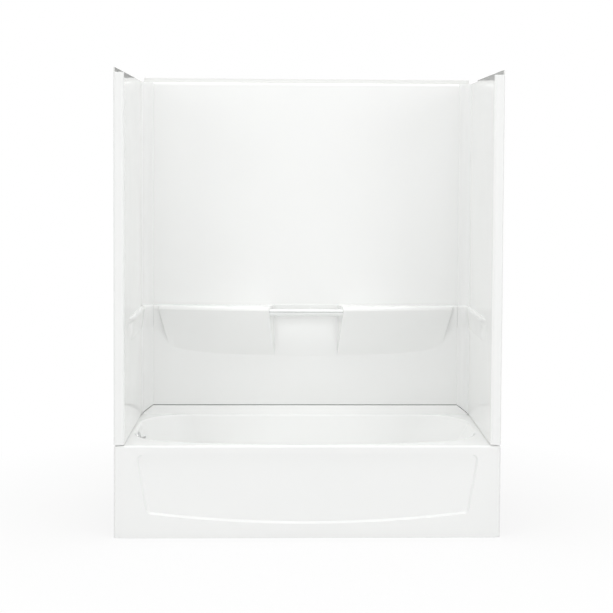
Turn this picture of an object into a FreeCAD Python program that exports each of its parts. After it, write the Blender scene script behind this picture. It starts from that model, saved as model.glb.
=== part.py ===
"""Alcove bath and shower unit: moulded bath, three wall panels, towel bar and trip-lever waste.

Millimetres. +X runs towards the right end, +Y towards the back wall, +Z up.
The origin is on the floor, in the middle of the unit's width and depth.
"""
import FreeCAD, Part
import math
import os

V = FreeCAD.Vector

# Overall sizes of the alcove that the unit fills
unit_width = 1524.0
unit_depth = 762.0
bath_height = 366.0
wall_top = 1826.0
flange_rise = 19.0

# Moulded sheet
bath_sheet = 6.0
wall_sheet = 5.0

# Bath rim, curb and flanges
rim_radius = 12.0
rim_strips = 3
apron_radius = 10.0
apron_return = 40.0
apron_foot = 31.0
curb_height = 34.0
curb_run = 26.0
curb_lip = 6.0
curb_radius = 9.0
curb_ramp = 46.0
tile_flange_height = 25.0
tile_flange_start = 51.0

# Basin, measured at the rim
drain_end_margin = 59.0
rest_end_margin = 72.0
front_deck = 36.0
back_deck = 81.0
front_bow = 52.0
basin_end_flat = 101.0
floor_height = 100.0
floor_radius = 55.0
floor_strips = 2
side_run = 41.0
drain_end_run = 44.0
backrest_run = 135.0

# Sunk panel in the apron
panel_top_band = 34.0
panel_side_band = 85.0
panel_taper = 41.0
panel_corner_height = 97.0
panel_bow_drop = 40.0
panel_corner_radius = 22.0
panel_depth = 8.0

# Wall panels
side_inset = 41.0
back_inset = 39.0
seam = 3.0
return_outer_radius = 8.0
return_inner_radius = 10.0
return_flange = 45.0
cove_radius = 38.0
lap_land = 11.0
lap_radius = 4.5
roll_radius = 11.0
hem_width = 32.0
rear_gap = 7.0
corner_gap = 3.0

# Ledge round the walls
ledge_height = 848.0
nose_height = 20.0
nose_radius = 17.0
side_ledge = 12.0
side_nose_radius = 9.0
nose_strips = 3
side_ledge_taper = 80.0
side_ledge_feather = 0.5
lap_gap = 0.5
ledge_fade_end = 130.0
ledge_fade_run = 140.0
ledge_middle = 100.0
ledge_end = 27.0
ledge_end_margin = 26.0
ledge_end_flare = 24.0
fascia_drop = 228.0
fascia_set_back = 11.0
fascia_end_slope = 0.27

# Recess in the ledge, and the towel bar across it
recess_half_width = 141.5
recess_shelf = 10.0
recess_drop = 224.0
recess_flare = 0.25
bar_radius = 15.0
bar_stand_off = 77.0
bar_drop = 27.0
bar_groove = 1.2
bar_groove_rise = 4.0
bar_peg_set_back = 5.0
bar_peg_radius = 6.0
bar_peg_root = 6.0
bar_peg_end = 3.0
bar_peg_fit = 0.1

# Strips, clips and supports behind the surface
gasket_set_back = 4.0
gasket_width = 24.0
seal_margin = 12.0
clip_thickness = 1.6
clip_length = 36.0
clip_depth = 17.0
clip_count = 3
clip_low_margin = 251.0
clip_top_margin = 210.0
pad_length = 72.0
pad_width = 400.0
pad_count = 3
pad_from_drain = 137.0
pad_from_backrest = 185.0
brace_half_pitch = 300.0
brace_width = 70.0
brace_thickness = 14.0
brace_margin = 14.0

# Waste and overflow
pipe_radius = 19.05
pipe_wall = 1.6
fitting_wall = 3.0
riser_inset = 28.0
drain_from_end = 156.0
arm_drop = 44.0
drain_hole_radius = 22.5
drain_flange_radius = 37.0
drain_flange_thickness = 3.0
drain_barrel_wall = 2.5
drain_barrel_fit = 0.4
drain_barrel_length = 30.0
cross_bar_width = 5.0
cross_bar_thickness = 4.0
cross_bar_drop = 4.0
outlet_height = 6.0
outlet_length = 24.0

# Overflow head, trip lever and stopper
overflow_drop = 48.0
overflow_hole_radius = 27.0
overflow_flange_radius = 33.0
overflow_flange_thickness = 4.0
overflow_plate_radius = 33.0
overflow_plate_thickness = 4.0
drum_radius = 24.0
mouth_wall = 3.0
lever_slot_width = 9.0
lever_slot_height = 28.0
lever_pivot_depth = 12.0
lever_width = 6.0
lever_hub_radius = 5.0
lever_arm_thickness = 5.0
lever_reach = 34.0
lever_tip_radius = 4.5
lever_swing = 40.0
lever_pin_radius = 2.0
pin_running_fit = 0.05
ear_thickness = 2.0
ear_gap = 0.6
ear_radius = 4.2
hook_pin_radius = 2.0
hook_pin_reach = 3.4
eye_play = 0.6
eye_slide = 3.5
eye_wall = 2.4
eye_cheek = 2.0
rod_radius = 2.5
plunger_length = 44.0
plunger_clearance = 0.5
plunger_seat = 4.0

# Working limits: how far a cut runs past a surface, and what counts as the same place or as flat
overcut = 1.0
same_place = 1e-3
flat_limit = 0.01

# Places worked out from the sizes above
half_width = unit_width / 2
front = -unit_depth / 2
rear = unit_depth / 2
side_face = half_width - side_inset
back_face = rear - back_inset
curb_top = bath_height + curb_height
deck_under = bath_height - bath_sheet
flange_back = rear - rear_gap
flange_top = wall_top + flange_rise
back_half = side_face - corner_gap
cove_x = side_face - cove_radius
cove_y = back_face - wall_sheet - cove_radius
lap_edge = cove_x - lap_land
end_bottom = bath_height + seam
back_bottom = curb_top + seam
basin_left = -half_width + drain_end_margin
basin_right = half_width - rest_end_margin
basin_front = front + front_deck
basin_back = rear - back_deck
basin_line = (basin_front + basin_back) / 2
basin_foot = floor_height + floor_radius
rim_start = bath_height - rim_radius
fascia_bottom = ledge_height - recess_drop
basin_corner_radius = (basin_back - basin_front - front_bow - 2 * side_run - basin_end_flat) / 2
panel_top = bath_height - panel_top_band
panel_half_top = half_width - panel_side_band
panel_half_low = panel_half_top - panel_taper
ledge_half_width = lap_edge - ledge_end_margin
bar_height = ledge_height - bar_drop


def box(x0, x1, y0, y1, z0, z1):
    """Block between two corners."""
    return Part.makeBox(x1 - x0, y1 - y0, z1 - z0, V(x0, y0, z0))


def prism(points, path):
    """Closed polygon pushed along a vector."""
    return Part.Face(Part.makePolygon(points + points[:1])).extrude(path)


def rod(radius, start, end):
    """Round bar between two points."""
    path = end - start
    return Part.makeCylinder(radius, path.Length, start, path)


def line(start, end):
    """Straight edge."""
    return Part.LineSegment(start, end).toShape()


def arc(start, middle, end):
    """Round edge through three points."""
    return Part.Arc(start, middle, end).toShape()


def towards(centre, point, distance):
    """Point at a distance from a centre, in the direction of another point."""
    way = point - centre
    way.normalize()
    return centre + way * distance


def quarter(centre, start, end):
    """Arc from start to end about a centre, the short way round."""
    return arc(start, towards(centre, (start + end) * 0.5, (start - centre).Length), end)


def edges_at_height(shape, height):
    """Edges that lie wholly at one height."""
    return [e for e in shape.Edges if all(abs(v.Z - height) < same_place for v in e.Vertexes)]


def edges_along(shape, axis):
    """Straight edges parallel to an axis."""
    found = []
    for edge in shape.Edges:
        if edge.Curve.TypeId == "Part::GeomLine":
            if edge.Curve.Direction.cross(axis).Length < same_place:
                found.append(edge)
    return found


def mirrored(shape):
    """The same piece at the other end of the unit."""
    return shape.mirror(V(0, 0, 0), V(1, 0, 0))


def group(shapes):
    """Like pieces kept apart in one node."""
    return Part.makeCompound(shapes)


def with_true_planes(solid):
    """The same solid with its flat four-sided faces made plain planes."""
    faces = []
    for face in solid.Faces:
        corners = [vertex.Point for vertex in face.OuterWire.OrderedVertexes]
        if face.findPlane(flat_limit) and len(corners) == 4:
            face = Part.Face(Part.makePolygon(corners + corners[:1]))
        faces.append(face)
    shell = Part.makeShell(faces)
    shell.sewShape()
    return Part.makeSolid(shell)


# Bath

def basin_outline(depth_share, height, grow):
    """Outline of the basin: four equal corner arcs, straight sides and a bowed front.

    It is drawn in towards the floor. The front keeps its angle as it grows shorter, so every corner
    moves inwards without turning.
    """
    radius = basin_corner_radius
    left = basin_left + radius
    right = basin_right - radius
    near = basin_front + front_bow + radius
    far = basin_back - radius
    front_turn = 2 * math.atan2(front_bow, (right - left) / 2)
    left += drain_end_run * depth_share
    right -= backrest_run * depth_share
    near += side_run * depth_share
    far -= side_run * depth_share
    quarter_turn = math.pi / 2
    corners = [
        (V(right, near, height), front_turn - quarter_turn, 0),
        (V(right, far, height), 0, quarter_turn),
        (V(left, far, height), quarter_turn, 2 * quarter_turn),
        (V(left, near, height), 2 * quarter_turn, 3 * quarter_turn - front_turn),
    ]
    arcs = []
    for centre, first, last in corners:
        ways = [V(math.cos(turn), math.sin(turn), 0) for turn in (first, (first + last) / 2, last)]
        arcs.append([centre + way * (radius + grow) for way in ways])
    edges = []
    for index, points in enumerate(arcs):
        edges.append(arc(*points))
        if index < 3:
            edges.append(line(points[2], arcs[index + 1][0]))
    start = arcs[3][2]
    end = arcs[0][0]
    bulge = (end.x - start.x) * math.tan(front_turn / 2) / 2
    edges.append(arc(start, (start + end) * 0.5 - V(0, bulge, 0), end))
    return Part.Wire(edges)


def basin(grow, rounding_strips):
    """Basin as a solid: a floor rounded up into sloping walls, which roll over into the rim."""
    wires = []
    radius = floor_radius + grow
    for step in range(floor_strips + 1):
        turn = math.pi / 2 * step / floor_strips
        height = basin_foot - radius * math.cos(turn)
        wires.append(basin_outline(1, height, grow - radius * (1 - math.sin(turn))))
    radius = rim_radius - grow
    for step in range(rounding_strips + 1):
        turn = math.pi / 2 * step / rounding_strips
        height = rim_start + radius * math.sin(turn)
        wires.append(basin_outline(0, height, grow + radius * (1 - math.cos(turn))))
    wires.append(basin_outline(0, rim_start + radius + overcut, rim_radius))
    return with_true_planes(Part.makeLoft(wires, True, True))


def curb(inset):
    """Raised curb along the back of the rim, ramped down at both ends."""
    top = curb_top - inset
    foot = back_face - curb_run + inset
    crest = back_face - curb_lip + inset
    low = bath_height - bath_sheet
    slope = (crest - foot) / curb_height
    start = -half_width
    profile = [
        V(start, foot - slope * (bath_height - low), low),
        V(start, crest - slope * inset, top),
        V(start, rear, top),
        V(start, rear, low),
    ]
    ridge = prism(profile, V(unit_width, 0, 0))
    lengthwise = edges_along(ridge, V(1, 0, 0))
    brow = [e for e in lengthwise
            if abs(e.CenterOfMass.z - top) < same_place and e.CenterOfMass.y < back_face]
    ridge = ridge.makeFillet(curb_radius, brow)
    return ridge.common(ramp(inset, 0))


def ramp(inset, lift):
    """Upright slice of the corner ramps, from end to end of the curb."""
    foot = side_face - inset
    shoulder = side_face - curb_ramp - inset
    low = bath_height + lift
    top = curb_top + lift + overcut
    reach = (shoulder - foot) / curb_height
    base = low - bath_sheet
    points = [
        V(-foot + reach * bath_sheet, 0, base),
        V(-shoulder - reach * overcut, 0, top),
        V(shoulder + reach * overcut, 0, top),
        V(foot - reach * bath_sheet, 0, base),
    ]
    return prism(points, V(0, rear, 0))


def apron_recess(grow):
    """Sunk panel of the apron: straight top and sides, bowed lower edge and a sloping border."""
    start = front - overcut
    half_top = panel_half_top + grow
    half_low = panel_half_low + grow
    top = panel_top + grow
    low = panel_corner_height - grow
    corners = [
        V(-half_top, start, top),
        V(half_top, start, top),
        V(half_low, start, low),
        V(-half_low, start, low),
    ]
    edges = [
        line(corners[0], corners[1]),
        line(corners[1], corners[2]),
        arc(corners[2], V(0, start, low - panel_bow_drop), corners[3]),
        line(corners[3], corners[0]),
    ]
    solid = Part.Face(Part.Wire(edges)).extrude(V(0, panel_depth + grow + overcut, 0))
    solid = solid.makeFillet(panel_corner_radius, edges_along(solid, V(0, 1, 0)))
    deep = front + panel_depth + grow
    border = [e for e in solid.Edges if all(abs(v.Y - deep) < same_place for v in e.Vertexes)]
    return solid.makeChamfer(panel_depth, border)


def bath_block():
    """Block of the bath with rounded front edges."""
    block = box(-half_width, half_width, front, rear, 0, bath_height)
    uprights = [e for e in edges_along(block, V(0, 0, 1)) if e.CenterOfMass.y < 0]
    block = block.makeFillet(apron_radius, uprights)
    brow = [e for e in edges_at_height(block, bath_height) if e.CenterOfMass.y < front + apron_radius]
    return block.makeFillet(apron_radius, brow)


def bath_shell():
    """One moulding: rim, curb, basin, apron and tile flanges."""
    outside = bath_block().fuse(curb(0)).cut(apron_recess(0))
    inner_half = half_width - bath_sheet
    beyond = half_width + overcut
    behind = rear + overcut
    hollow = box(-inner_half, inner_half, front + bath_sheet, behind, bath_sheet, deck_under)
    hollow = hollow.fuse([
        box(-beyond, beyond, front + apron_return, behind, -overcut, deck_under),
        box(-inner_half, inner_half, front + apron_foot, rear, -overcut, deck_under / 2),
        curb(bath_sheet),
    ])
    shell = outside.cut(hollow.cut(apron_recess(bath_sheet)))
    shell = shell.fuse(basin(bath_sheet, 1)).cut(basin(0, rim_strips))
    end_flange = box(half_width - wall_sheet, half_width, front + tile_flange_start, rear,
                     deck_under, bath_height + tile_flange_height)
    rear_flange = box(-half_width, half_width, rear - wall_sheet, rear,
                      deck_under, curb_top + tile_flange_height)
    shell = shell.fuse([end_flange, mirrored(end_flange), rear_flange])
    shell = shell.cut(rod(drain_hole_radius, drain_point(0), drain_point(floor_height + overcut)))
    reach = V(overflow_hole_radius, 0, 0)
    shell = shell.cut(overflow_frame(rod(overflow_hole_radius, reach * -2, reach)))
    return shell.removeSplitter()


# Waste and overflow places

drain_x = basin_left + drain_from_end
riser_x = -half_width + riser_inset
arm_height = floor_height - bath_sheet - arm_drop
overflow_height = bath_height - overflow_drop


def drain_point(height):
    """Point on the drain's upright axis."""
    return V(drain_x, basin_line, height)


def riser_point(height):
    """Point on the riser's upright axis."""
    return V(riser_x, basin_line, height)


overflow_share = (rim_start - overflow_height) / (rim_start - basin_foot)
overflow_x = basin_left + drain_end_run * overflow_share
overflow_tilt = math.degrees(math.atan2(drain_end_run, rim_start - basin_foot))


def overflow_frame(shape):
    """Move a piece from its own frame, +X out of the wall, to the overflow on the sloping drain end."""
    moved = shape.copy()
    moved.rotate(V(0, 0, 0), V(0, 1, 0), -overflow_tilt)
    moved.translate(V(overflow_x, basin_line, overflow_height))
    return moved


# Wall panels

def end_sheet():
    """Flat sheet of the right end wall with its front return, seen from above and pushed up."""
    outer = half_width
    inner = half_width - wall_sheet
    back_of_face = side_face + wall_sheet
    points = [
        V(outer, front + return_flange, end_bottom),
        V(outer, front, end_bottom),
        V(side_face, front, end_bottom),
        V(side_face, flange_back, end_bottom),
        V(back_of_face, flange_back, end_bottom),
        V(back_of_face, front + wall_sheet, end_bottom),
        V(inner, front + wall_sheet, end_bottom),
        V(inner, front + return_flange, end_bottom),
    ]
    sheet = prism(points, V(0, 0, wall_top - end_bottom))
    for corner_x, radius in ((outer, return_outer_radius), (side_face, return_inner_radius)):
        corner = V(corner_x, front, (end_bottom + wall_top) / 2)
        uprights = edges_along(sheet, V(0, 0, 1))
        chosen = [e for e in uprights if (e.CenterOfMass - corner).Length < same_place]
        sheet = sheet.makeFillet(radius, chosen)
    return sheet


def cove_sheet():
    """Coved rear corner of the end wall, ending in a rounded edge that laps over the back wall."""
    z = end_bottom
    centre = V(cove_x, cove_y, z)
    lap_front = back_face - wall_sheet
    inner_start = V(side_face, cove_y, z)
    inner_end = V(cove_x, lap_front, z)
    outer_start = V(side_face + wall_sheet, cove_y, z)
    outer_end = V(cove_x, back_face, z)
    lap_centre = V(lap_edge + lap_radius, lap_front + lap_radius, z)
    round_start = V(lap_edge + lap_radius, lap_front, z)
    round_end = V(lap_edge, lap_front + lap_radius, z)
    tip = V(lap_edge, back_face, z)
    edges = [
        quarter(centre, inner_start, inner_end),
        line(inner_end, round_start),
        quarter(lap_centre, round_start, round_end),
        line(round_end, tip),
        line(tip, outer_end),
        quarter(centre, outer_end, outer_start),
        line(outer_start, inner_start),
    ]
    return Part.Face(Part.Wire(edges)).extrude(V(0, 0, wall_top - z))


def side_ledge_outline(projection, height):
    """Outline of the end wall's ledge from above: it fades out at the front and follows the cove."""
    root = wall_sheet / 2
    fade_end = front + ledge_fade_end
    fade_start = fade_end + ledge_fade_run
    face = side_face - projection
    centre = V(cove_x, cove_y, height)
    turn_start = V(face, cove_y, height)
    turn_end = V(cove_x, cove_y + cove_radius - projection, height)
    back_start = V(cove_x, cove_y + cove_radius + root, height)
    back_end = V(side_face + root, cove_y, height)
    points = [
        V(side_face + root, fade_end, height),
        V(face, fade_start, height),
        V(lap_edge, cove_y + cove_radius - projection, height),
        V(lap_edge, cove_y + cove_radius + root, height),
    ]
    return Part.Wire([
        line(points[0], points[1]),
        line(points[1], turn_start),
        quarter(centre, turn_start, turn_end),
        line(turn_end, points[2]),
        line(points[2], points[3]),
        line(points[3], back_start),
        quarter(centre, back_start, back_end),
        line(back_end, points[0]),
    ])


def side_ledge_solid():
    """Low ledge along the end wall, rounded on top and tapering back to the wall below."""
    low = ledge_height - nose_height
    foot = low - side_ledge_taper
    wires = [side_ledge_outline(side_ledge_feather, foot), side_ledge_outline(side_ledge, low)]
    for step in range(nose_strips + 1):
        turn = math.pi / 2 * step / nose_strips
        projection = side_ledge - side_nose_radius * (1 - math.cos(turn))
        height = ledge_height - side_nose_radius * (1 - math.sin(turn))
        wires.append(side_ledge_outline(projection, height))
    return Part.makeLoft(wires, True, True)


def right_end_wall():
    """End wall: sheet, cove, ledge, top shelf with nailing flange, and a hem that stands on the rim."""
    shelf = [
        V(side_face, cove_y, 0),
        V(side_face, front + return_inner_radius, 0),
        V(side_face + return_inner_radius, front, 0),
        V(half_width - return_outer_radius, front, 0),
        V(half_width, front + return_outer_radius, 0),
        V(half_width, flange_back, 0),
        V(side_face, flange_back, 0),
    ]
    shelf = prism([p + V(0, 0, wall_top - wall_sheet) for p in shelf], V(0, 0, wall_sheet))
    flange = box(half_width - wall_sheet, half_width, front + return_outer_radius, flange_back,
                 wall_top - wall_sheet, flange_top)
    hem = box(side_face, side_face + hem_width, front + wall_sheet, flange_back,
              end_bottom, end_bottom + wall_sheet)
    wall = end_sheet().fuse([cove_sheet(), side_ledge_solid(), shelf, flange, hem])
    over_curb = box(-half_width, half_width, back_face - curb_run, rear, 0, back_bottom)
    return wall.cut(ramp(0, seam).common(over_curb)).removeSplitter()


def ledge_outline(middle, end, half, flare, root, height):
    """Outline of the bowed ledge from above: an arc in front, slanting ends and a straight back."""
    left = V(-half, back_face - end, height)
    right = V(half, back_face - end, height)
    left_root = V(-half - flare, back_face + root, height)
    right_root = V(half + flare, back_face + root, height)
    return Part.Wire([
        arc(left, V(0, back_face - middle, height), right),
        line(right, right_root),
        line(right_root, left_root),
        line(left_root, left),
    ])


def ledge_straight(half, flare, root, height, front_y):
    """Foot of the fascia: a straight line just behind the wall's face."""
    corners = [
        V(-half, front_y, height),
        V(half, front_y, height),
        V(half + flare, back_face + root, height),
        V(-half - flare, back_face + root, height),
    ]
    return Part.makePolygon(corners + corners[:1])


def ledge_solid(inset, strips):
    """Bowed ledge: flat top, rounded nose, and a fascia that sweeps back to the wall below."""
    nose_low = ledge_height - nose_height
    root = fascia_set_back + wall_sheet + overcut
    half = ledge_half_width - inset
    foot_half = half - fascia_end_slope * fascia_drop
    foot_front = back_face + fascia_set_back + inset
    flare = ledge_end_flare
    wires = [ledge_straight(foot_half, flare, root, nose_low - fascia_drop, foot_front)]
    wires.append(ledge_outline(ledge_middle - inset, ledge_end - inset, half, flare, root, nose_low))
    radius = nose_radius - inset
    for step in range(strips + 1):
        turn = math.pi / 2 * step / strips
        back = inset + radius * (1 - math.cos(turn))
        height = ledge_height - inset - radius * (1 - math.sin(turn))
        wires.append(ledge_outline(ledge_middle - back, ledge_end - back, half, flare, root, height))
    return Part.makeLoft(wires, True, True)


def lip_solid(inset):
    """Narrow ledge that carries on from the bowed one to the corners, in line with the end walls' ledge."""
    projection = side_ledge + wall_sheet - inset
    top = ledge_height - inset
    low = ledge_height - nose_height
    reach = lap_edge - lap_gap - inset
    profile = [
        V(-reach, back_face + wall_sheet, top),
        V(-reach, back_face - projection, top),
        V(-reach, back_face - projection, low),
        V(-reach, back_face + inset, low - side_ledge_taper),
        V(-reach, back_face + wall_sheet, low - side_ledge_taper),
    ]
    lip = prism(profile, V(2 * reach, 0, 0))
    nose = [e for e in edges_at_height(lip, top)
            if abs(e.CenterOfMass.y - back_face + projection) < same_place]
    return lip.makeFillet(side_nose_radius - inset, nose)


def recess_solid(grow):
    """Space of the recess in the ledge: flared sides and a face that slopes back to the wall below."""
    reach = ledge_middle + 2 * bar_radius
    low = fascia_bottom - grow
    high = ledge_height + reach
    widen = recess_half_width + grow * math.hypot(1, recess_flare)
    wide = widen + recess_flare * (reach - recess_shelf)
    narrow = wide - 2 * recess_flare * reach
    plan = prism(
        [
            V(-narrow, back_face + reach, low),
            V(narrow, back_face + reach, low),
            V(wide, back_face - reach, low),
            V(-wide, back_face - reach, low),
        ],
        V(0, 0, high - low),
    )
    slope = recess_shelf / recess_drop
    side_view = prism(
        [
            V(-wide, back_face - slope * (low - fascia_bottom) + grow, low),
            V(-wide, back_face - reach, low),
            V(-wide, back_face - reach, high),
            V(-wide, back_face - slope * (high - fascia_bottom) + grow, high),
        ],
        V(2 * wide, 0, 0),
    )
    return plan.common(side_view)


def back_wall():
    """Back wall: flanged tray with the ledge moulded in, hollow behind."""
    tray = box(-back_half, back_half, back_face, flange_back, back_bottom, wall_top)
    brow = [e for e in edges_at_height(tray, wall_top) if abs(e.CenterOfMass.y - back_face) < same_place]
    tray = tray.makeFillet(roll_radius, brow)
    face = tray.fuse([ledge_solid(0, nose_strips), lip_solid(0)]).cut(recess_solid(0))
    face = face.common(box(-half_width, half_width, front, flange_back, 0, wall_top))
    inner_half = back_half - wall_sheet
    inner_face = back_face + wall_sheet
    inner_top = wall_top - wall_sheet
    void = box(-inner_half, inner_half, inner_face, rear + overcut, back_bottom + wall_sheet, inner_top)
    brow = [e for e in edges_at_height(void, inner_top) if abs(e.CenterOfMass.y - inner_face) < same_place]
    void = void.makeFillet(roll_radius - wall_sheet, brow)
    void = void.fuse([ledge_solid(wall_sheet, 1), lip_solid(wall_sheet)]).cut(recess_solid(wall_sheet))
    shelf = box(-back_half, back_half, flange_back - overcut, rear, inner_top, wall_top)
    flange = box(-back_half, back_half, rear - wall_sheet, rear, inner_top, flange_top)
    wall = face.cut(void).fuse([shelf, flange])
    peg_hole = rod(bar_peg_radius + bar_peg_fit, V(-overcut, 0, 0), V(2 * wall_sheet, 0, 0))
    return wall.cut(group([bar_frame(peg_hole, side) for side in (-1, 1)])).removeSplitter()


# Towel bar

bar_y = back_face - bar_stand_off
peg_stand_off = bar_stand_off - bar_peg_set_back
peg_x = recess_half_width + recess_flare * (peg_stand_off - recess_shelf)
recess_turn = math.degrees(math.atan(recess_flare))


def bar_frame(shape, side):
    """Move a piece from its own frame, +X through the recess's side, to one end of the bar."""
    moved = shape.copy()
    moved.rotate(V(0, 0, 0), V(0, 0, 1), recess_turn)
    moved.translate(V(peg_x, back_face - peg_stand_off, bar_height))
    return moved if side > 0 else mirrored(moved)


def towel_bar():
    """Round bar with a fine groove along its front, and a peg at each end for the recess's side."""
    reach = recess_half_width + recess_flare * bar_stand_off
    bar = rod(bar_radius, V(-reach, bar_y, bar_height), V(reach, bar_y, bar_height))
    groove_y = bar_y - math.sqrt(bar_radius ** 2 - bar_groove_rise ** 2)
    groove = prism(
        [
            V(-reach, groove_y - bar_groove, bar_height + bar_groove_rise + bar_groove),
            V(-reach, groove_y - bar_groove, bar_height + bar_groove_rise - bar_groove),
            V(-reach, groove_y + bar_groove, bar_height + bar_groove_rise),
        ],
        V(2 * reach, 0, 0),
    )
    bar = bar.cut(groove).common(recess_solid(0))
    peg = rod(bar_peg_radius, V(-bar_peg_root, 0, 0), V(wall_sheet + bar_peg_end, 0, 0))
    return bar.fuse([bar_frame(peg, side) for side in (-1, 1)])


# Strips, clips and supports

def deck_gasket_back():
    """Dark strip in the seam over the curb."""
    reach = side_face - curb_ramp
    start = back_face + gasket_set_back
    return box(-reach, reach, start, start + gasket_width, curb_top, back_bottom)


def deck_gasket_right():
    """Dark strip in the seam over the end deck."""
    start = side_face + gasket_set_back
    near = front + apron_radius + gasket_set_back
    far = back_face - curb_run - gasket_set_back
    return box(start, start + gasket_width, near, far, bath_height, end_bottom)


def corner_seal_right():
    """Foam strip between the rear flange of the end wall and the side flange of the back wall."""
    return box(back_half, side_face, back_face + seal_margin, flange_back, back_bottom + seal_margin,
               wall_top - wall_sheet - seal_margin)


def corner_clips():
    """Spring clips pushed over the two flanges from behind, at both corners."""
    inner = back_half - wall_sheet
    outer = side_face + wall_sheet
    first = end_bottom + clip_low_margin
    last = wall_top - clip_top_margin - clip_length
    clips = []
    for index in range(clip_count):
        low = first + (last - first) * index / (clip_count - 1)
        high = low + clip_length
        clip = box(inner - clip_thickness, outer + clip_thickness, flange_back - clip_depth,
                   flange_back + clip_thickness, low, high)
        clip = clip.cut(box(inner, outer, front, flange_back, low - overcut, high + overcut))
        clips.extend([clip, mirrored(clip)])
    return group(clips)


pad_first = drain_x + pad_from_drain
pad_last = basin_right - backrest_run - pad_from_backrest


def bearing_pads():
    """Pads bonded under the basin's floor, standing on the subfloor."""
    pads = []
    for index in range(pad_count):
        x = pad_first + (pad_last - pad_first) * index / (pad_count - 1)
        pads.append(box(x - pad_length / 2, x + pad_length / 2, basin_line - pad_width / 2,
                        basin_line + pad_width / 2, 0, floor_height - bath_sheet))
    return group(pads)


def apron_brace():
    """Board strips bonded upright behind the sunk panel."""
    start = front + panel_depth + bath_sheet
    strips = []
    for side in (-1, 1):
        x = side * brace_half_pitch
        strips.append(box(x - brace_width / 2, x + brace_width / 2, start, start + brace_thickness,
                          panel_corner_height + brace_margin, panel_top - brace_margin))
    return group(strips)


# Drain

under_floor = floor_height - bath_sheet
barrel_radius = drain_hole_radius - drain_barrel_fit
barrel_bottom = under_floor - drain_barrel_length
shoe_bore = barrel_radius + drain_barrel_fit
shoe_radius = shoe_bore + fitting_wall
shoe_bottom = arm_height - pipe_radius - fitting_wall


def drain_flange():
    """Flanged drain body with a threaded barrel and a cross that keeps things out of the pipe."""
    top = floor_height + drain_flange_thickness
    rim = rod(drain_flange_radius, drain_point(floor_height), drain_point(top))
    body = rim.fuse(rod(barrel_radius, drain_point(barrel_bottom), drain_point(floor_height)))
    bore = barrel_radius - drain_barrel_wall
    body = body.cut(rod(bore, drain_point(0), drain_point(bath_height)))
    half = cross_bar_width / 2
    reach = bore + drain_barrel_wall / 2
    high = floor_height - cross_bar_drop
    low = high - cross_bar_thickness
    cross = box(-reach, reach, -half, half, low, high).fuse(box(-half, half, -reach, reach, low, high))
    cross.translate(drain_point(0))
    return body.fuse(cross).removeSplitter()


pipe_bore = pipe_radius - pipe_wall
outlet_radius = pipe_radius + fitting_wall
seat_height = outlet_height + outlet_length
plunger_radius = pipe_bore - plunger_clearance
seat_bore = plunger_radius - plunger_seat


def waste_pipe():
    """Glued pipes at the drain end: shoe, arm, riser with the stopper's seat, and the overflow head."""
    flange_start = V(-bath_sheet - overflow_flange_thickness, 0, 0)
    flange = overflow_frame(rod(overflow_flange_radius, flange_start, V(-bath_sheet, 0, 0)))
    wall_side = overflow_frame(box(-bath_sheet, half_width, front, rear, -half_width, half_width))
    drum_back = riser_point(overflow_height) + V(-pipe_radius, 0, 0)
    drum_front = V(overflow_x, basin_line, overflow_height)
    pipes = rod(drum_radius, drum_back, drum_front).cut(wall_side).fuse([
        flange,
        rod(pipe_radius, riser_point(seat_height), riser_point(overflow_height)),
        rod(outlet_radius, riser_point(outlet_height), riser_point(seat_height)),
        rod(pipe_radius, drain_point(arm_height), riser_point(arm_height)),
        rod(shoe_radius, drain_point(shoe_bottom), drain_point(under_floor)),
    ])
    return pipes.cut(group([
        rod(drum_radius - mouth_wall, drum_back + V(mouth_wall, 0, 0), drum_front),
        rod(pipe_bore, riser_point(seat_height), riser_point(overflow_height)),
        rod(seat_bore, riser_point(0), riser_point(overflow_height)),
        rod(pipe_bore, drain_point(arm_height), riser_point(arm_height)),
        rod(shoe_bore, drain_point(shoe_bottom + fitting_wall), drain_point(floor_height)),
    ]))


def overflow_plate():
    """Round plate with a slot for the lever and two ears that carry the lever's pin."""
    top = overflow_plate_thickness
    slot = box(-overcut, top + overcut, -lever_slot_width / 2, lever_slot_width / 2,
               -lever_slot_height / 2, lever_slot_height / 2)
    plate = overflow_frame(rod(overflow_plate_radius, V(0, 0, 0), V(top, 0, 0)).cut(slot))
    half = lever_width / 2 + ear_gap
    for side in (-1, 1):
        near = basin_line + side * half
        far = basin_line + side * (half + ear_thickness)
        plate = plate.fuse(box(lever_x - ear_radius, overflow_x + top / 2, min(near, far), max(near, far),
                               lever_height - ear_radius, lever_height + ear_radius))
    reach = V(0, half + ear_thickness + overcut, 0)
    pivot = V(lever_x, basin_line, lever_height)
    return plate.cut(rod(lever_pin_radius, pivot - reach, pivot + reach))


# Trip lever and stopper

lever_x = overflow_x - lever_pivot_depth
lever_height = overflow_height
lever_arm = lever_x - riser_x
half_swing = lever_swing / 2
hook_drop = lever_arm * math.tan(math.radians(half_swing))
hook_height = lever_height - hook_drop


def lever_pin():
    """Pivot pin through the plate's ears."""
    reach = lever_width / 2 + ear_gap + ear_thickness
    return rod(lever_pin_radius, V(lever_x, basin_line - reach, lever_height),
               V(lever_x, basin_line + reach, lever_height))


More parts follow.
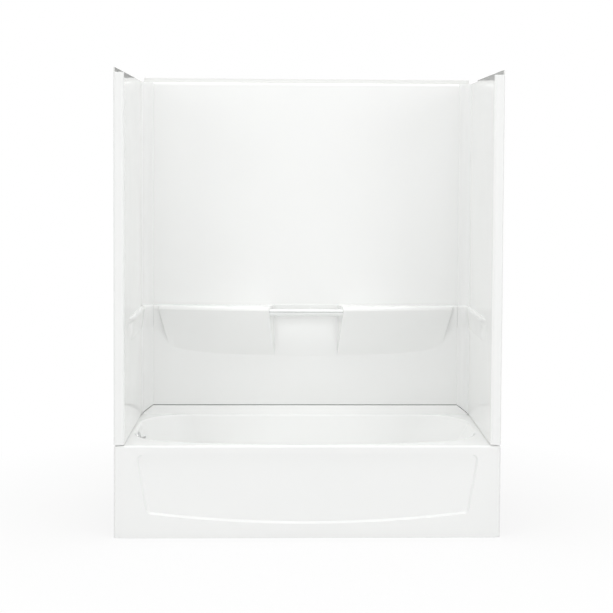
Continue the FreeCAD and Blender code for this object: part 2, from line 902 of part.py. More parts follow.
def trip_lever():
    """Lever with a rounded handle in the bath and a hooked arm behind the plate, shown at its lower stop."""
    half = lever_width / 2
    thick = lever_arm_thickness / 2
    across = V(0, lever_width, 0)
    start = V(lever_x, basin_line - half, lever_height)
    hub = rod(lever_hub_radius, start, start + across)
    slope = math.radians(half_swing)
    back_length = lever_arm / math.cos(slope)
    front_length = lever_reach
    beam = box(-back_length, front_length, -half, half, -thick, thick)
    tip = rod(lever_tip_radius, V(front_length, -half, 0), V(front_length, half, 0))
    reach = half + hook_pin_reach
    hook = rod(hook_pin_radius, V(-back_length, -reach, 0), V(-back_length, reach, 0))
    arm = beam.fuse([tip, hook])
    arm.rotate(V(0, 0, 0), V(0, 1, 0), -half_swing)
    arm.translate(V(lever_x, basin_line, lever_height))
    lever = hub.fuse(arm)
    bore = lever_pin_radius + pin_running_fit
    return lever.cut(rod(bore, start - across, start + across * 2))


def lift_rod():
    """Rod that hangs from the lever's hook by two slotted cheeks and carries the stopper."""
    gap = lever_width / 2 + ear_gap
    cheek_half = hook_pin_radius + eye_slide + eye_wall
    slot_half = hook_pin_radius + eye_slide
    rise = hook_pin_radius + eye_play
    top = hook_height + rise + eye_wall
    low = hook_height - lever_hub_radius - rise - eye_wall
    outer = gap + eye_cheek
    yoke = box(-cheek_half, cheek_half, -outer, outer, low - eye_cheek, top)
    beyond = cheek_half + overcut
    yoke = yoke.cut(box(-beyond, beyond, -gap, gap, low, top + overcut))
    yoke = yoke.cut(box(-slot_half, slot_half, -beyond, beyond, hook_height - rise, hook_height + rise))
    stem = rod(rod_radius, V(0, 0, plunger_top), V(0, 0, low))
    moved = yoke.fuse(stem)
    moved.translate(V(riser_x, basin_line, 0))
    return moved


plunger_low = seat_height + plunger_clearance
plunger_top = plunger_low + plunger_length


def plunger():
    """Brass stopper that closes the tee's seat when it is down."""
    return rod(plunger_radius, riser_point(plunger_low), riser_point(plunger_top))


NODES = {
    "bath_shell": bath_shell,
    "bearing_pads": bearing_pads,
    "apron_brace": apron_brace,
    "drain_flange": drain_flange,
    "waste_pipe": waste_pipe,
    "overflow_plate": overflow_plate,
    "lever_pin": lever_pin,
    "trip_lever": trip_lever,
    "lift_rod": lift_rod,
    "plunger": plunger,
    "deck_gasket_back": deck_gasket_back,
    "deck_gasket_left": lambda: mirrored(deck_gasket_right()),
    "deck_gasket_right": deck_gasket_right,
    "back_wall": back_wall,
    "left_end_wall": lambda: mirrored(right_end_wall()),
    "right_end_wall": right_end_wall,
    "corner_seal_left": lambda: mirrored(corner_seal_right()),
    "corner_seal_right": corner_seal_right,
    "corner_clips": corner_clips,
    "towel_bar": towel_bar,
}

os.makedirs("parts", exist_ok=True)
for node, make in NODES.items():
    make().exportStep(f"parts/{node}.step")
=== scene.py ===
import math

import bmesh
import bpy
from mathutils import Matrix, Vector


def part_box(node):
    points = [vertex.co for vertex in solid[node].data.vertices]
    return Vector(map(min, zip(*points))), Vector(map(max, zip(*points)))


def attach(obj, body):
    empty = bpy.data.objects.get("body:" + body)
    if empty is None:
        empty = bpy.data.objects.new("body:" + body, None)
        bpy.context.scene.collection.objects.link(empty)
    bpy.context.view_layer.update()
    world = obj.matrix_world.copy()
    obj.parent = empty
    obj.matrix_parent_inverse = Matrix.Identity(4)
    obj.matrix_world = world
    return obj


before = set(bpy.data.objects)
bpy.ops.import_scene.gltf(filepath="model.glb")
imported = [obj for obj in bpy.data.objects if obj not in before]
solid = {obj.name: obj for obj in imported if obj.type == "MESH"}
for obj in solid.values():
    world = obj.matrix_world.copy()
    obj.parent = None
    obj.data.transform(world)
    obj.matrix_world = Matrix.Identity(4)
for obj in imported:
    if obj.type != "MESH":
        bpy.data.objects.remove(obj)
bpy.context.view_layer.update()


# Bearing pads
# Three blocks of poured rigid foam, bonded under the bath's floor while the laminate is still green.
# They carry the bather's weight down to the subfloor.
FOAM_DEEP = (0.56, 0.50, 0.36)
FOAM_PALE = (0.68, 0.62, 0.46)
FOAM_PORE = (0.44, 0.38, 0.26)


def new_finish(name):
    """A bare finish: the material, its node tree and its one shader."""
    finish = bpy.data.materials.new(name)
    finish.use_nodes = True
    tree = finish.node_tree
    tree.nodes.clear()
    shader = tree.nodes.new("ShaderNodeBsdfPrincipled")
    surface = tree.nodes.new("ShaderNodeOutputMaterial")
    tree.links.new(shader.outputs["BSDF"], surface.inputs["Surface"])
    return finish, tree, shader


def on_piece(tree, stretch=(1, 1, 1), turn=(0, 0, 0)):
    """The piece's own coordinates, stretched and turned for one pattern."""
    place = tree.nodes.new("ShaderNodeTexCoord")
    fitted = tree.nodes.new("ShaderNodeMapping")
    fitted.inputs["Scale"].default_value = stretch
    fitted.inputs["Rotation"].default_value = [math.radians(angle) for angle in turn]
    tree.links.new(place.outputs["Object"], fitted.inputs["Vector"])
    return fitted.outputs["Vector"]


def mottle(tree, scale, detail, stretch=(1, 1, 1), turn=(0, 0, 0)):
    """A cloudy pattern of 0 to 1, with scale patches to the metre."""
    cloud = tree.nodes.new("ShaderNodeTexNoise")
    cloud.inputs["Scale"].default_value = scale
    cloud.inputs["Detail"].default_value = detail
    tree.links.new(on_piece(tree, stretch, turn), cloud.inputs["Vector"])
    return cloud.outputs["Fac"]


def cells(tree, scale):
    """Rounded cells, 0 in the middle of each and more towards its edge."""
    foam = tree.nodes.new("ShaderNodeTexVoronoi")
    foam.inputs["Scale"].default_value = scale
    tree.links.new(on_piece(tree), foam.inputs["Vector"])
    return foam.outputs["Distance"]


def worked(tree, operation, *values):
    """One step of arithmetic on patterns and numbers."""
    step = tree.nodes.new("ShaderNodeMath")
    step.operation = operation
    for socket, value in zip(step.inputs, values):
        if isinstance(value, bpy.types.NodeSocket):
            tree.links.new(value, socket)
        else:
            socket.default_value = value
    return step.outputs["Value"]


def between(tree, pattern, low, high, least=0.3, most=0.7):
    """Turns a pattern's usual spread, from least to most, into numbers from low to high."""
    spread = tree.nodes.new("ShaderNodeMapRange")
    spread.inputs["From Min"].default_value = least
    spread.inputs["From Max"].default_value = most
    spread.inputs["To Min"].default_value = low
    spread.inputs["To Max"].default_value = high
    tree.links.new(pattern, spread.inputs["Value"])
    return spread.outputs["Result"]


def shades(tree, share, first, second):
    """A colour between two: each is a plain colour or another colour pattern."""
    mix = tree.nodes.new("ShaderNodeMix")
    mix.data_type = "RGBA"
    tree.links.new(share, mix.inputs["Factor"])
    for socket, colour in ((mix.inputs["A"], first), (mix.inputs["B"], second)):
        if isinstance(colour, bpy.types.NodeSocket):
            tree.links.new(colour, socket)
        else:
            socket.default_value = (*colour, 1)
    return mix.outputs["Result"]


def clouded(tree, scale, first, second, detail=3):
    """A colour that drifts between two, with scale patches to the metre."""
    return shades(tree, between(tree, mottle(tree, scale, detail), 0, 1), first, second)


def coat(tree, shader, colour):
    """Gives a finish its colour pattern."""
    tree.links.new(colour, shader.inputs["Base Color"])


def relief(tree, shader, height, depth):
    """Small relief of the surface, depth metres from its lows to its highs."""
    bump = tree.nodes.new("ShaderNodeBump")
    bump.inputs["Strength"].default_value = 1.0
    bump.inputs["Distance"].default_value = depth
    tree.links.new(height, bump.inputs["Height"])
    tree.links.new(bump.outputs["Normal"], shader.inputs["Normal"])


def give(finish, *names):
    """Puts a finish on solids of the frame."""
    for name in names:
        solid[name].data.materials.clear()
        solid[name].data.materials.append(finish)


poured_foam, tree, shader = new_finish("poured_foam")
beads = cells(tree, 260)
pores = between(tree, beads, 0, 1, least=0.45, most=0.75)
crust = clouded(tree, 9, FOAM_DEEP, FOAM_PALE, detail=4)
coat(tree, shader, shades(tree, pores, crust, FOAM_PORE))
shader.inputs["Roughness"].default_value = 0.85
relief(tree, shader, worked(tree, "SUBTRACT", mottle(tree, 40, detail=5), beads), depth=0.0015)
give(poured_foam, "bearing_pads")


# Apron brace
# Two sawn softwood boards laminated to the rear of the apron, upright, so that a knee doesn't flex it.
# They are planed only by the saw, so the grain and the saw's chatter both show.
WOOD_DEEP = (0.52, 0.35, 0.19)
WOOD_PALE = (0.68, 0.51, 0.31)
WOOD_LATE = (0.38, 0.23, 0.11)


def roughen(tree, shader, pattern, low, high, least=0.3, most=0.7):
    """Varies a finish from gloss, at a low roughness, to dull, at a high one, along a pattern."""
    tree.links.new(between(tree, pattern, low, high, least, most), shader.inputs["Roughness"])


sawn_board, tree, shader = new_finish("sawn_board")
grain = mottle(tree, 26, detail=6, stretch=(3.2, 3.2, 0.14))
rings = mottle(tree, 9, detail=3, stretch=(2.4, 2.4, 0.07))
early = shades(tree, between(tree, rings, 0, 1, least=0.36, most=0.64), WOOD_DEEP, WOOD_PALE)
late = between(tree, grain, 0, 0.55, least=0.5, most=0.75)
coat(tree, shader, shades(tree, late, early, WOOD_LATE))
roughen(tree, shader, grain, 0.6, 0.85)
chatter = mottle(tree, 300, detail=1, stretch=(0.1, 0.1, 1))
relief(tree, shader, worked(tree, "ADD", grain, chatter), depth=0.0008)
give(sawn_board, "apron_brace")


# Bath shell
# One moulding of glass-reinforced plastic: glossy white gel coat on the side that shows, with chopped
# glass mat and resin sprayed on behind it. The apron, rim, curb and tile flanges come off the same mould.
GEL_WHITE = (0.900, 0.906, 0.897)
GEL_SHADE = (0.888, 0.894, 0.885)
GEL_TOP_GREY = (0.77, 0.776, 0.76)
MAT_PALE = (0.62, 0.61, 0.53)
MAT_DEEP = (0.42, 0.41, 0.33)
MAT_STRAND = (0.78, 0.78, 0.72)
GEL_REFRACTION = 1.5
GREY_TOP_DROP = 0.0175
FRONT_ROLL = 0.015
APRON_DEPTH = 0.041
BATHER_HEIGHT = 0.5
DECK_FACING = 0.35
APRON_REAR_FACING = 0.5
CREASE = 42
WELD = 0.00001
FLAT_WEIGHT = 90
PANEL_TOP = (50, 0.314, 0.345)
BASIN_RIM = (75, 0.345, 0.364)

bath_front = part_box("bath_shell")[0][1]
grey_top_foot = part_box("back_wall")[1][2] - GREY_TOP_DROP
drain_low, drain_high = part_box("drain_flange")
basin_middle = (drain_low[1] + drain_high[1]) / 2


def facing(tree):
    """Which way the surface faces, as three numbers along the unit's own axes."""
    place = tree.nodes.new("ShaderNodeTexCoord")
    parts = tree.nodes.new("ShaderNodeSeparateXYZ")
    tree.links.new(place.outputs["Normal"], parts.inputs["Vector"])
    return parts.outputs


def standing(tree):
    """Where the surface is, as three lengths along the unit's own axes."""
    parts = tree.nodes.new("ShaderNodeSeparateXYZ")
    tree.links.new(on_piece(tree), parts.inputs["Vector"])
    return parts.outputs


def laminate(name, rear_side):
    """Gel coat in front and glass mat behind: rear_side gives 1 where the mat shows.

    The gel is a darker grey along the nailing flange at the top."""
    finish, tree, shader = new_finish(name)
    rear = rear_side(tree)
    gel = clouded(tree, 1.7, GEL_WHITE, GEL_SHADE)
    # Above this height the gel is coloured a darker grey.
    top_band = worked(tree, "GREATER_THAN", standing(tree)["Z"], grey_top_foot)
    gel = shades(tree, top_band, gel, GEL_TOP_GREY)
    strand_a = mottle(tree, 60, detail=2, stretch=(6, 0.35, 3), turn=(20, 35, 10))
    strand_b = mottle(tree, 60, detail=2, stretch=(0.35, 6, 3), turn=(-35, 15, 50))
    strand_c = mottle(tree, 60, detail=2, stretch=(3, 6, 0.35), turn=(50, -25, 30))
    strands = worked(tree, "MAXIMUM", worked(tree, "MAXIMUM", strand_a, strand_b), strand_c)
    resin = clouded(tree, 5, MAT_PALE, MAT_DEEP, detail=4)
    mat = shades(tree, between(tree, strands, 0, 0.55, least=0.58, most=0.74), resin, MAT_STRAND)
    coat(tree, shader, shades(tree, rear, gel, mat))
    polish = between(tree, mottle(tree, 4, detail=3), 0.07, 0.13)
    dull = between(tree, strands, 0.35, 0.6)
    lift = worked(tree, "MULTIPLY", rear, worked(tree, "SUBTRACT", dull, polish))
    tree.links.new(worked(tree, "ADD", polish, lift), shader.inputs["Roughness"])
    peel = worked(tree, "MULTIPLY", mottle(tree, 140, detail=1), 0.012)
    fibre = worked(tree, "ADD", strands, mottle(tree, 22, detail=3))
    relief(tree, shader, worked(tree, "ADD", peel, worked(tree, "MULTIPLY", rear, fibre)), depth=0.0012)
    shader.inputs["IOR"].default_value = GEL_REFRACTION
    return finish


def under_bath(tree):
    """1 on every face turned away from the bather: outside the basin, under the deck, behind the apron."""
    towards = facing(tree)
    place = standing(tree)
    along = worked(tree, "MULTIPLY", towards["X"], place["X"])
    across = worked(tree, "MULTIPLY", towards["Y"], worked(tree, "SUBTRACT", place["Y"], basin_middle))
    upright = worked(tree, "MULTIPLY", towards["Z"], worked(tree, "SUBTRACT", place["Z"], BATHER_HEIGHT))
    outwards = worked(tree, "ADD", along, worked(tree, "ADD", across, upright))
    away = worked(tree, "GREATER_THAN", outwards, 0)
    not_upward = worked(tree, "LESS_THAN", towards["Z"], DECK_FACING)
    outside = worked(tree, "MULTIPLY", away, not_upward)
    behind_front = worked(tree, "GREATER_THAN", place["Y"], bath_front + FRONT_ROLL)
    to_rear = worked(tree, "GREATER_THAN", towards["Y"], APRON_REAR_FACING)
    by_apron = worked(tree, "LESS_THAN", place["Y"], bath_front + APRON_DEPTH)
    apron_rear = worked(tree, "MULTIPLY", to_rear, by_apron)
    return worked(tree, "MAXIMUM", worked(tree, "MULTIPLY", outside, behind_front), apron_rear)


def soften(name, *bands):
    """Shades a moulding's narrow strips as one round, and keeps every corner over CREASE degrees crisp.

    Each band is a limit of its own in degrees, and the two heights that it holds between."""
    group = bpy.data.node_groups.new("rounds_of_" + name, "GeometryNodeTree")
    group.interface.new_socket("Geometry", in_out="INPUT", socket_type="NodeSocketGeometry")
    group.interface.new_socket("Geometry", in_out="OUTPUT", socket_type="NodeSocketGeometry")
    make = group.nodes.new
    join = group.links.new
    start = make("NodeGroupInput")
    plain = make("GeometryNodeRemoveAttribute")
    plain.inputs["Name"].default_value = "custom_normal"
    whole = make("GeometryNodeMergeByDistance")
    whole.inputs["Distance"].default_value = WELD
    smooth = make("GeometryNodeSetShadeSmooth")
    smooth.domain = "FACE"
    crisp = make("GeometryNodeSetShadeSmooth")
    crisp.domain = "EDGE"
    crisp.inputs["Shade Smooth"].default_value = False
    angle = make("GeometryNodeInputMeshEdgeAngle")
    corner = make("FunctionNodeCompare")
    corner.operation = "GREATER_THAN"
    place = make("GeometryNodeInputPosition")
    height = make("ShaderNodeSeparateXYZ")
    join(place.outputs["Position"], height.inputs["Vector"])
    limit = make("ShaderNodeValue").outputs["Value"]
    limit.default_value = math.radians(CREASE)
    for band_crease, low, high in bands:
        inside = make("ShaderNodeMath")
        inside.operation = "COMPARE"
        level, middle, reach = inside.inputs
        join(height.outputs["Z"], level)
        middle.default_value = (low + high) / 2
        reach.default_value = (high - low) / 2
        either = make("ShaderNodeMapRange")
        either.inputs["To Max"].default_value = math.radians(band_crease)
        join(inside.outputs["Value"], either.inputs["Value"])
        join(limit, either.inputs["To Min"])
        limit = either.outputs["Result"]
    finish = make("NodeGroupOutput")
    join(start.outputs["Geometry"], plain.inputs["Geometry"])
    join(plain.outputs["Geometry"], whole.inputs["Geometry"])
    join(whole.outputs["Geometry"], smooth.inputs["Geometry"])
    join(smooth.outputs["Geometry"], crisp.inputs["Geometry"])
    join(angle.outputs["Unsigned Angle"], corner.inputs["A"])
    join(limit, corner.inputs["B"])
    join(corner.outputs["Result"], crisp.inputs["Selection"])
    join(crisp.outputs["Geometry"], finish.inputs["Geometry"])
    rounds = solid[name].modifiers.new("rounds", "NODES")
    rounds.node_group = group
    weights = solid[name].modifiers.new("flats", "WEIGHTED_NORMAL")
    weights.mode = "FACE_AREA_WITH_ANGLE"
    weights.weight = FLAT_WEIGHT
    weights.keep_sharp = True


give(laminate("bath_laminate", under_bath), "bath_shell")
soften("bath_shell", PANEL_TOP, BASIN_RIM)


# Drain flange
# A chrome-plated brass casting screwed down through the bath's floor, with a cross moulded in its throat.
# The plate is bright, and faintly scuffed by cleaning.
CHROME_BRIGHT = (0.56, 0.565, 0.57)
CHROME_DULL = (0.50, 0.505, 0.51)

chrome_plate, tree, shader = new_finish("chrome_plate")
scuff = mottle(tree, 420, detail=2, stretch=(1, 0.15, 1), turn=(0, 0, 30))
coat(tree, shader, clouded(tree, 30, CHROME_BRIGHT, CHROME_DULL))
roughen(tree, shader, scuff, 0.05, 0.16)
shader.inputs["Metallic"].default_value = 1.0
relief(tree, shader, scuff, depth=0.00003)
give(chrome_plate, "drain_flange")


# Waste pipe
# Black drain plastic: the shoe under the bath, its arm, the riser and the overflow's head, glued into one.
# Extruded pipe is satin, and the moulded fittings are a little duller and pebbled.
PIPE_BLACK = (0.018, 0.018, 0.019)
PIPE_DUST = (0.05, 0.05, 0.048)

drain_plastic, tree, shader = new_finish("drain_plastic")
dust = between(tree, mottle(tree, 14, detail=4), 0, 1, least=0.4, most=0.75)
coat(tree, shader, shades(tree, dust, PIPE_BLACK, PIPE_DUST))
roughen(tree, shader, mottle(tree, 55, detail=3), 0.32, 0.5)
relief(tree, shader, mottle(tree, 900, detail=1), depth=0.00012)
give(drain_plastic, "waste_pipe")


# Overflow plate and its screws
# A plated disc over the overflow's mouth in the drain end, with a slot for the lever and two ears behind
# for its pin. Two oval-headed screws hold it to the pipe's flange.
PLATE_TILT = math.radians(12.468)
PLATE_THICKNESS = 0.004
SCREW_SPREAD = 0.0225
HEAD_RADIUS = 0.0042
HEAD_RISE = 0.0017
HEAD_SINK = 0.0002
HEAD_CREASE = math.radians(35)
SLOT_HALF = 0.0005
SLOT_FLOOR = 0.0007
NEAR_SLOT_TURN = 25
FAR_SLOT_TURN = -50


def everything(shape):
    """All the vertices, edges and faces of a shape."""
    return [*shape.verts, *shape.edges, *shape.faces]


def slotted_head(place):
    """An oval screw head: half a flattened ball, with a straight slot pressed across it."""
    head = bmesh.new()
    bmesh.ops.create_uvsphere(head, u_segments=32, v_segments=16, radius=HEAD_RADIUS)
    bmesh.ops.bisect_plane(head, geom=everything(head), dist=1e-6, plane_co=(0, 0, 0), plane_no=(0, 0, 1),
                           clear_inner=True)
    bmesh.ops.scale(head, vec=(1, 1, HEAD_RISE / HEAD_RADIUS), verts=head.verts[:])
    bmesh.ops.holes_fill(head, edges=head.edges[:])
    for side in (-SLOT_HALF, SLOT_HALF):
        bmesh.ops.bisect_plane(head, geom=everything(head), dist=1e-6, plane_co=(side, 0, 0),
                               plane_no=(1, 0, 0))
    strip = []
    for face in head.faces:
        middle = face.calc_center_median()
        if abs(middle.x) < SLOT_HALF and middle.z > SLOT_FLOOR:
            strip.append(face)
    pressed = bmesh.ops.extrude_face_region(head, geom=strip)["geom"]
    pressed = [part for part in pressed if isinstance(part, bmesh.types.BMVert)]
    bmesh.ops.scale(head, vec=(1, 1, 0), space=Matrix.Translation((0, 0, -SLOT_FLOOR)), verts=pressed)
    bmesh.ops.delete(head, geom=[face for face in strip if face.is_valid], context="FACES_ONLY")
    bmesh.ops.transform(head, matrix=place, verts=head.verts[:])
    return head


give(chrome_plate, "overflow_plate")

plate_low, plate_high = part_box("overflow_plate")
plate_radius = (plate_high[1] - plate_low[1]) / 2
plate_face = Vector((
    plate_high[0] - plate_radius * math.sin(PLATE_TILT),
    plate_low[1] + plate_radius,
    plate_low[2] + plate_radius * math.cos(PLATE_TILT) + PLATE_THICKNESS * math.sin(PLATE_TILT),
))
to_plate = Matrix.Rotation(math.pi / 2 - PLATE_TILT, 4, "Y")
screw_mesh = bpy.data.meshes.new("overflow_screws")
both = bmesh.new()
for spread, slot_turn in ((-SCREW_SPREAD, NEAR_SLOT_TURN), (SCREW_SPREAD, FAR_SLOT_TURN)):
    seat = Matrix.Translation(plate_face + Vector((0, spread, 0)))
    turned = to_plate @ Matrix.Rotation(math.radians(slot_turn), 4, "Z")
    head = slotted_head(seat @ turned @ Matrix.Translation((0, 0, -HEAD_SINK)))
    one = bpy.data.meshes.new("overflow_screw")
    head.to_mesh(one)
    head.free()
    both.from_mesh(one)
    bpy.data.meshes.remove(one)
bmesh.ops.recalc_face_normals(both, faces=both.faces[:])
both.to_mesh(screw_mesh)
both.free()
screw_mesh.shade_smooth()
screw_mesh.set_sharp_from_angle(angle=HEAD_CREASE)
screw_mesh.materials.append(chrome_plate)
overflow_screws = bpy.data.objects.new("overflow_screws", screw_mesh)
bpy.context.scene.collection.objects.link(overflow_screws)
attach(overflow_screws, "unit")


# Lever pin, trip lever, lift rod and plunger
# The plated lever turns on a steel pin between the plate's ears. Its hook lifts a brass rod, and the brass
# plunger on the rod's foot opens and shuts the waste below.
STEEL_BRIGHT = (0.56, 0.57, 0.58)
STEEL_DULL = (0.45, 0.45, 0.46)
BRASS_BRIGHT = (0.78, 0.58, 0.24)
BRASS_TARNISH = (0.52, 0.36, 0.15)

bright_steel, tree, shader = new_finish("bright_steel")
drawn = mottle(tree, 700, detail=2, stretch=(0.08, 1, 1))
coat(tree, shader, clouded(tree, 80, STEEL_BRIGHT, STEEL_DULL))
roughen(tree, shader, drawn, 0.22, 0.38)
shader.inputs["Metallic"].default_value = 1.0
relief(tree, shader, drawn, depth=0.00004)
give(bright_steel, "lever_pin")
give(chrome_plate, "trip_lever")

turned_brass, tree, shader = new_finish("turned_brass")
tarnish = between(tree, mottle(tree, 45, detail=5), 0, 1, least=0.42, most=0.7)
lathe = mottle(tree, 900, detail=1, stretch=(0.05, 0.05, 1))
coat(tree, shader, shades(tree, tarnish, BRASS_BRIGHT, BRASS_TARNISH))
roughen(tree, shader, lathe, 0.2, 0.42)
shader.inputs["Metallic"].default_value = 1.0
relief(tree, shader, lathe, depth=0.00005)
give(turned_brass, "lift_rod", "plunger")


# Deck gaskets
# Dark closed-cell strips laid on the deck and the curb, which the wall panels press on when they are set.
# Only their edge shows: dark at the back and at the front ends. Along the sides they are painted pale, as
# painted light that lifts the shade of the side seams.
RUBBER_DARK = (0.10, 0.10, 0.10)
RUBBER_WORN = (0.17, 0.17, 0.165)
RUBBER_END = (0.14, 0.14, 0.135)
SIDE_PAINTED_LIGHT_DEEP = (0.80, 0.805, 0.795)
SIDE_PAINTED_LIGHT_PALE = (0.86, 0.865, 0.855)
FRONT_FACING = -0.5

seam_rubber, tree, shader = new_finish("seam_rubber")
coat(tree, shader, clouded(tree, 60, RUBBER_DARK, RUBBER_WORN))
shader.inputs["Roughness"].default_value = 0.8
relief(tree, shader, cells(tree, 900), depth=0.0003)
give(seam_rubber, "deck_gasket_back")

rubber_painted_pale, tree, shader = new_finish("rubber_painted_pale")
front_end = worked(tree, "LESS_THAN", facing(tree)["Y"], FRONT_FACING)
# Painted light: the sides' pale tone lifts the seams' shade; the rubber is the same all round.
painted_light_sides = clouded(tree, 60, SIDE_PAINTED_LIGHT_DEEP, SIDE_PAINTED_LIGHT_PALE)
coat(tree, shader, shades(tree, front_end, painted_light_sides, RUBBER_END))
shader.inputs["Roughness"].default_value = 0.85
relief(tree, shader, cells(tree, 900), depth=0.0003)
give(rubber_painted_pale, "deck_gasket_left", "deck_gasket_right")


# Back wall
# The same laminate, moulded with a bowed ledge, a sloping fascia under it and a recess in the middle.
# Its sides lap over the end walls' coves and its top rolls back into a nailing flange.
STUD_FACING = 0.3
DOWN_FACING = -0.7
HOLLOW_FOOT = 0.7
FASCIA_FOOT = (3, 0.59, 0.66)
FASCIA_ENDS = (70, 0.66, 0.825)


def behind_back_wall(tree):
    """1 on faces turned to the studs, and on the underside of the ledge's top, inside its hollow."""
    towards = facing(tree)
    to_studs = worked(tree, "GREATER_THAN", towards["Y"], STUD_FACING)
    downwards = worked(tree, "LESS_THAN", towards["Z"], DOWN_FACING)
    in_hollow = worked(tree, "GREATER_THAN", standing(tree)["Z"], HOLLOW_FOOT)
    return worked(tree, "MAXIMUM", to_studs, worked(tree, "MULTIPLY", downwards, in_hollow))


give(laminate("back_wall_laminate", behind_back_wall), "back_wall")
soften("back_wall", FASCIA_FOOT, FASCIA_ENDS)


# End walls
# A left and a right moulding, each with a flat return at the front, a coved rear corner, a shallow side
# ledge that runs on from the back wall's, and a nailing flange along its top.
RETURN_ROLL = 0.011
LEDGE_TAPER = (70, 0.73, 0.829)

return_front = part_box("left_end_wall")[0][1]


def behind_end_wall(tree):
    """1 on faces turned to the alcove's side walls or to its rear, behind the return's rounded edge."""
    towards = facing(tree)
    place = standing(tree)
    side = worked(tree, "SIGN", place["X"])
    to_side = worked(tree, "GREATER_THAN", worked(tree, "MULTIPLY", towards["X"], side), STUD_FACING)
    to_rear = worked(tree, "GREATER_THAN", towards["Y"], STUD_FACING)
    past_return = worked(tree, "GREATER_THAN", place["Y"], return_front + RETURN_ROLL)
    return worked(tree, "MULTIPLY", worked(tree, "MAXIMUM", to_side, to_rear), past_return)


give(laminate("end_wall_laminate", behind_end_wall), "left_end_wall", "right_end_wall")
soften("left_end_wall", LEDGE_TAPER)
soften("right_end_wall", LEDGE_TAPER)


# Corner seals
# Strips of grey open-cell foam with an adhesive back, squeezed between the panels' flanges in the corners.
# They are cut from sheet, so the cut bubbles show on every side.
SEAL_PALE = (0.46, 0.46, 0.45)
SEAL_DEEP = (0.26, 0.26, 0.25)

cell_foam, tree, shader = new_finish("cell_foam")
bubbles = cells(tree, 700)
coat(tree, shader, shades(tree, between(tree, bubbles, 0, 1, least=0.3, most=0.8), SEAL_PALE, SEAL_DEEP))
shader.inputs["Roughness"].default_value = 0.95
relief(tree, shader, bubbles, depth=0.0008)
give(cell_foam, "corner_seal_left", "corner_seal_right")


# Corner clips
# Folded strips of zinc-coated spring steel, pushed over two flanges at a time behind each corner.
# The zinc was laid on hot, so its crystals show as a pale and dark spangle.
ZINC_PALE = (0.62, 0.63, 0.64)
ZINC_DEEP = (0.46, 0.47, 0.49)

spring_strip, tree, shader = new_finish("spring_strip")
spangle = cells(tree, 130)
coat(tree, shader, shades(tree, between(tree, spangle, 0, 1, least=0.1, most=0.7), ZINC_PALE, ZINC_DEEP))
roughen(tree, shader, spangle, 0.28, 0.48, least=0.1, most=0.7)
shader.inputs["Metallic"].default_value = 1.0
relief(tree, shader, mottle(tree, 500, detail=2, stretch=(1, 1, 0.1)), depth=0.00006)
give(spring_strip, "corner_clips")


# Towel bar
# A white extruded bar with a fine groove along its front, its pegs pushed into the sides of the recess.
# Drawing through the die leaves very fine lines along its length. The groove is painted a darker grey, as
# painted shade in its crease.
BAR_WHITE = (0.87, 0.882, 0.875)
BAR_SHADE = (0.85, 0.862, 0.855)
GROOVE_PAINTED_SHADE = (0.46, 0.467, 0.46)
GROOVE_RISE = 0.004
GROOVE_HALF = 0.0018
GROOVE_FACING = -0.3

bar_low, bar_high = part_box("towel_bar")
groove_height = (bar_low[2] + bar_high[2]) / 2 + GROOVE_RISE

white_extrusion, tree, shader = new_finish("white_extrusion")
die_lines = mottle(tree, 900, detail=2, stretch=(0.01, 1, 1))
# Painted shade: a grey line along the front of the bar stands for the shade in its groove.
level = worked(tree, "COMPARE", standing(tree)["Z"], groove_height, GROOVE_HALF)
in_front = worked(tree, "LESS_THAN", facing(tree)["Y"], GROOVE_FACING)
painted_groove_shade = worked(tree, "MULTIPLY", level, in_front)
coat(tree, shader, shades(tree, painted_groove_shade, clouded(tree, 20, BAR_WHITE, BAR_SHADE), GROOVE_PAINTED_SHADE))
roughen(tree, shader, die_lines, 0.10, 0.2)
relief(tree, shader, die_lines, depth=0.00004)
give(white_extrusion, "towel_bar")


# Studio
# A plain pale floor and an even white surround, soft light from large panels, and the camera where the
# photograph was taken from. A dark flag behind the unit is seen only in the gloss of its top edges.
FLOOR_REACH = 15
FLOOR_DROP = 0.0005
FLOOR_PALE = (0.86, 0.86, 0.86)
FLOOR_DEEP = (0.84, 0.84, 0.84)
GLOW_NEAR = 0.84
GLOW_FAR = 1.0
GLOW_START = 0.8
GLOW_END = 1.9
FLAG_HALF = 1.3
FLAG_BACK = 1.0
FLAG_FOOT = 1.78
FLAG_TOP = 2.8
FLAG_BLACK = (0.02, 0.02, 0.02)
FLAG_FADED = (0.04, 0.04, 0.04)
SURROUND_LIGHT = 0.44


def card(name, corners):
    """A flat panel of the studio."""
    shape = bmesh.new()
    shape.faces.new([shape.verts.new(corner) for corner in corners])
    sheet = bpy.data.meshes.new(name)
    shape.to_mesh(sheet)
    shape.free()
    panel = bpy.data.objects.new(name, sheet)
    bpy.context.scene.collection.objects.link(panel)
    return panel


def background_rays(tree):
    """1 on the rays that show the background: the camera's own, and those of gloss and of glass."""
    rays = tree.nodes.new("ShaderNodeLightPath")
    seen = worked(tree, "MAXIMUM", rays.outputs["Is Camera Ray"], rays.outputs["Is Glossy Ray"])
    return worked(tree, "MAXIMUM", seen, rays.outputs["Is Transmission Ray"])


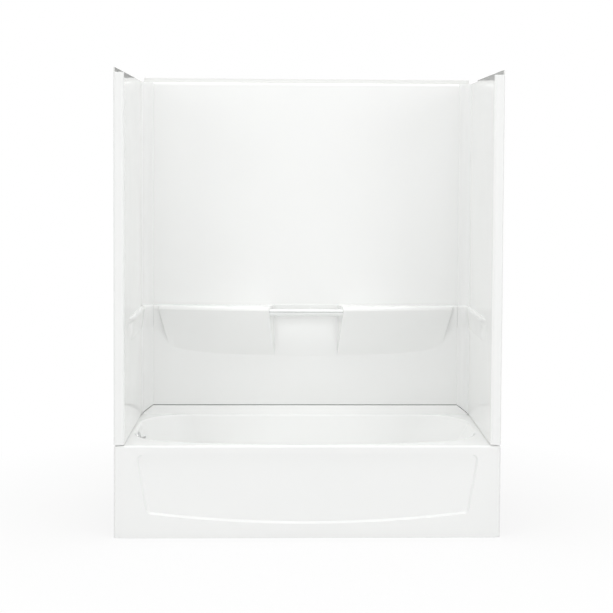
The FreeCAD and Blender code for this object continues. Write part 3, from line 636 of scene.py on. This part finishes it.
floor = card("floor", [
    (-FLOOR_REACH, -FLOOR_REACH, -FLOOR_DROP),
    (FLOOR_REACH, -FLOOR_REACH, -FLOOR_DROP),
    (FLOOR_REACH, FLOOR_REACH, -FLOOR_DROP),
    (-FLOOR_REACH, FLOOR_REACH, -FLOOR_DROP),
])
floor_paint, tree, shader = new_finish("floor_paint")
coat(tree, shader, clouded(tree, 0.8, FLOOR_PALE, FLOOR_DEEP))
shader.inputs["Roughness"].default_value = 0.7
away = tree.nodes.new("ShaderNodeVectorMath")
away.operation = "LENGTH"
tree.links.new(on_piece(tree), away.inputs["Vector"])
glow = between(tree, away.outputs["Value"], GLOW_NEAR, GLOW_FAR, least=GLOW_START, most=GLOW_END)
white_glow = tree.nodes.new("ShaderNodeEmission")
layer = tree.nodes.new("ShaderNodeMixShader")
glow_share, painted, glowing = layer.inputs
tree.links.new(worked(tree, "MULTIPLY", background_rays(tree), glow), glow_share)
tree.links.new(shader.outputs["BSDF"], painted)
tree.links.new(white_glow.outputs["Emission"], glowing)
tree.links.new(layer.outputs["Shader"], tree.nodes["Material Output"].inputs["Surface"])
floor.data.materials.append(floor_paint)

flag = card("flag", [
    (-FLAG_HALF, FLAG_BACK, FLAG_FOOT),
    (FLAG_HALF, FLAG_BACK, FLAG_FOOT),
    (FLAG_HALF, FLAG_BACK, FLAG_TOP),
    (-FLAG_HALF, FLAG_BACK, FLAG_TOP),
])
flag.visible_camera = False
flag.visible_diffuse = False
flag.visible_transmission = False
flag.visible_shadow = False
flag_cloth, tree, shader = new_finish("flag_cloth")
coat(tree, shader, clouded(tree, 40, FLAG_BLACK, FLAG_FADED))
shader.inputs["Roughness"].default_value = 1.0
flag.data.materials.append(flag_cloth)

world = bpy.data.worlds.new("white_surround")
bpy.context.scene.world = world
world.use_nodes = True
tree = world.node_tree
tree.nodes.clear()
surround = tree.nodes.new("ShaderNodeBackground")
surround.inputs["Color"].default_value = (1, 1, 1, 1)
strength = between(tree, background_rays(tree), SURROUND_LIGHT, 1, least=0, most=1)
tree.links.new(strength, surround.inputs["Strength"])
sky = tree.nodes.new("ShaderNodeOutputWorld")
tree.links.new(surround.outputs["Background"], sky.inputs["Surface"])


def soft_light(name, place, aim, width, height, power, mirrored=False):
    """A large soft panel of light turned to face a point.

    Unless it is mirrored, gloss shows the surround in its place."""
    lamp = bpy.data.lights.new(name, "AREA")
    lamp.shape = "RECTANGLE"
    lamp.size = width
    lamp.size_y = height
    lamp.energy = power
    panel = bpy.data.objects.new(name, lamp)
    panel.location = place
    panel.visible_glossy = mirrored
    panel.rotation_euler = (Vector(aim) - Vector(place)).to_track_quat("-Z", "Y").to_euler()
    bpy.context.scene.collection.objects.link(panel)


soft_light("top_panel", place=(0, -0.3, 4.4), aim=(0, -0.25, 0),
           width=4.6, height=2.6, power=87, mirrored=True)
soft_light("right_panel", place=(3.0, -3.6, 2.4), aim=(0, 0, 0.6), width=2.4, height=2.0, power=44)
soft_light("left_panel", place=(-3.0, -3.6, 2.6), aim=(0, 0, 0.6), width=2.4, height=2.0, power=41)
soft_light("front_panel", place=(0, -5.0, 1.4), aim=(0, 0, 0.5), width=4.0, height=1.2, power=21)

lens = bpy.data.cameras.new("camera")
lens.sensor_width = 36
lens.lens = 82.8
lens.shift_x = -0.0356
lens.shift_y = -0.1359
camera = bpy.data.objects.new("camera", lens)
camera.location = (-0.0978, -5.8786, 1.4973)
camera.rotation_euler = [math.radians(angle) for angle in (87.3544, -0.3353, -1.7771)]
bpy.context.scene.collection.objects.link(camera)
bpy.context.scene.camera = camera
bpy.context.scene.view_settings.view_transform = "Standard"
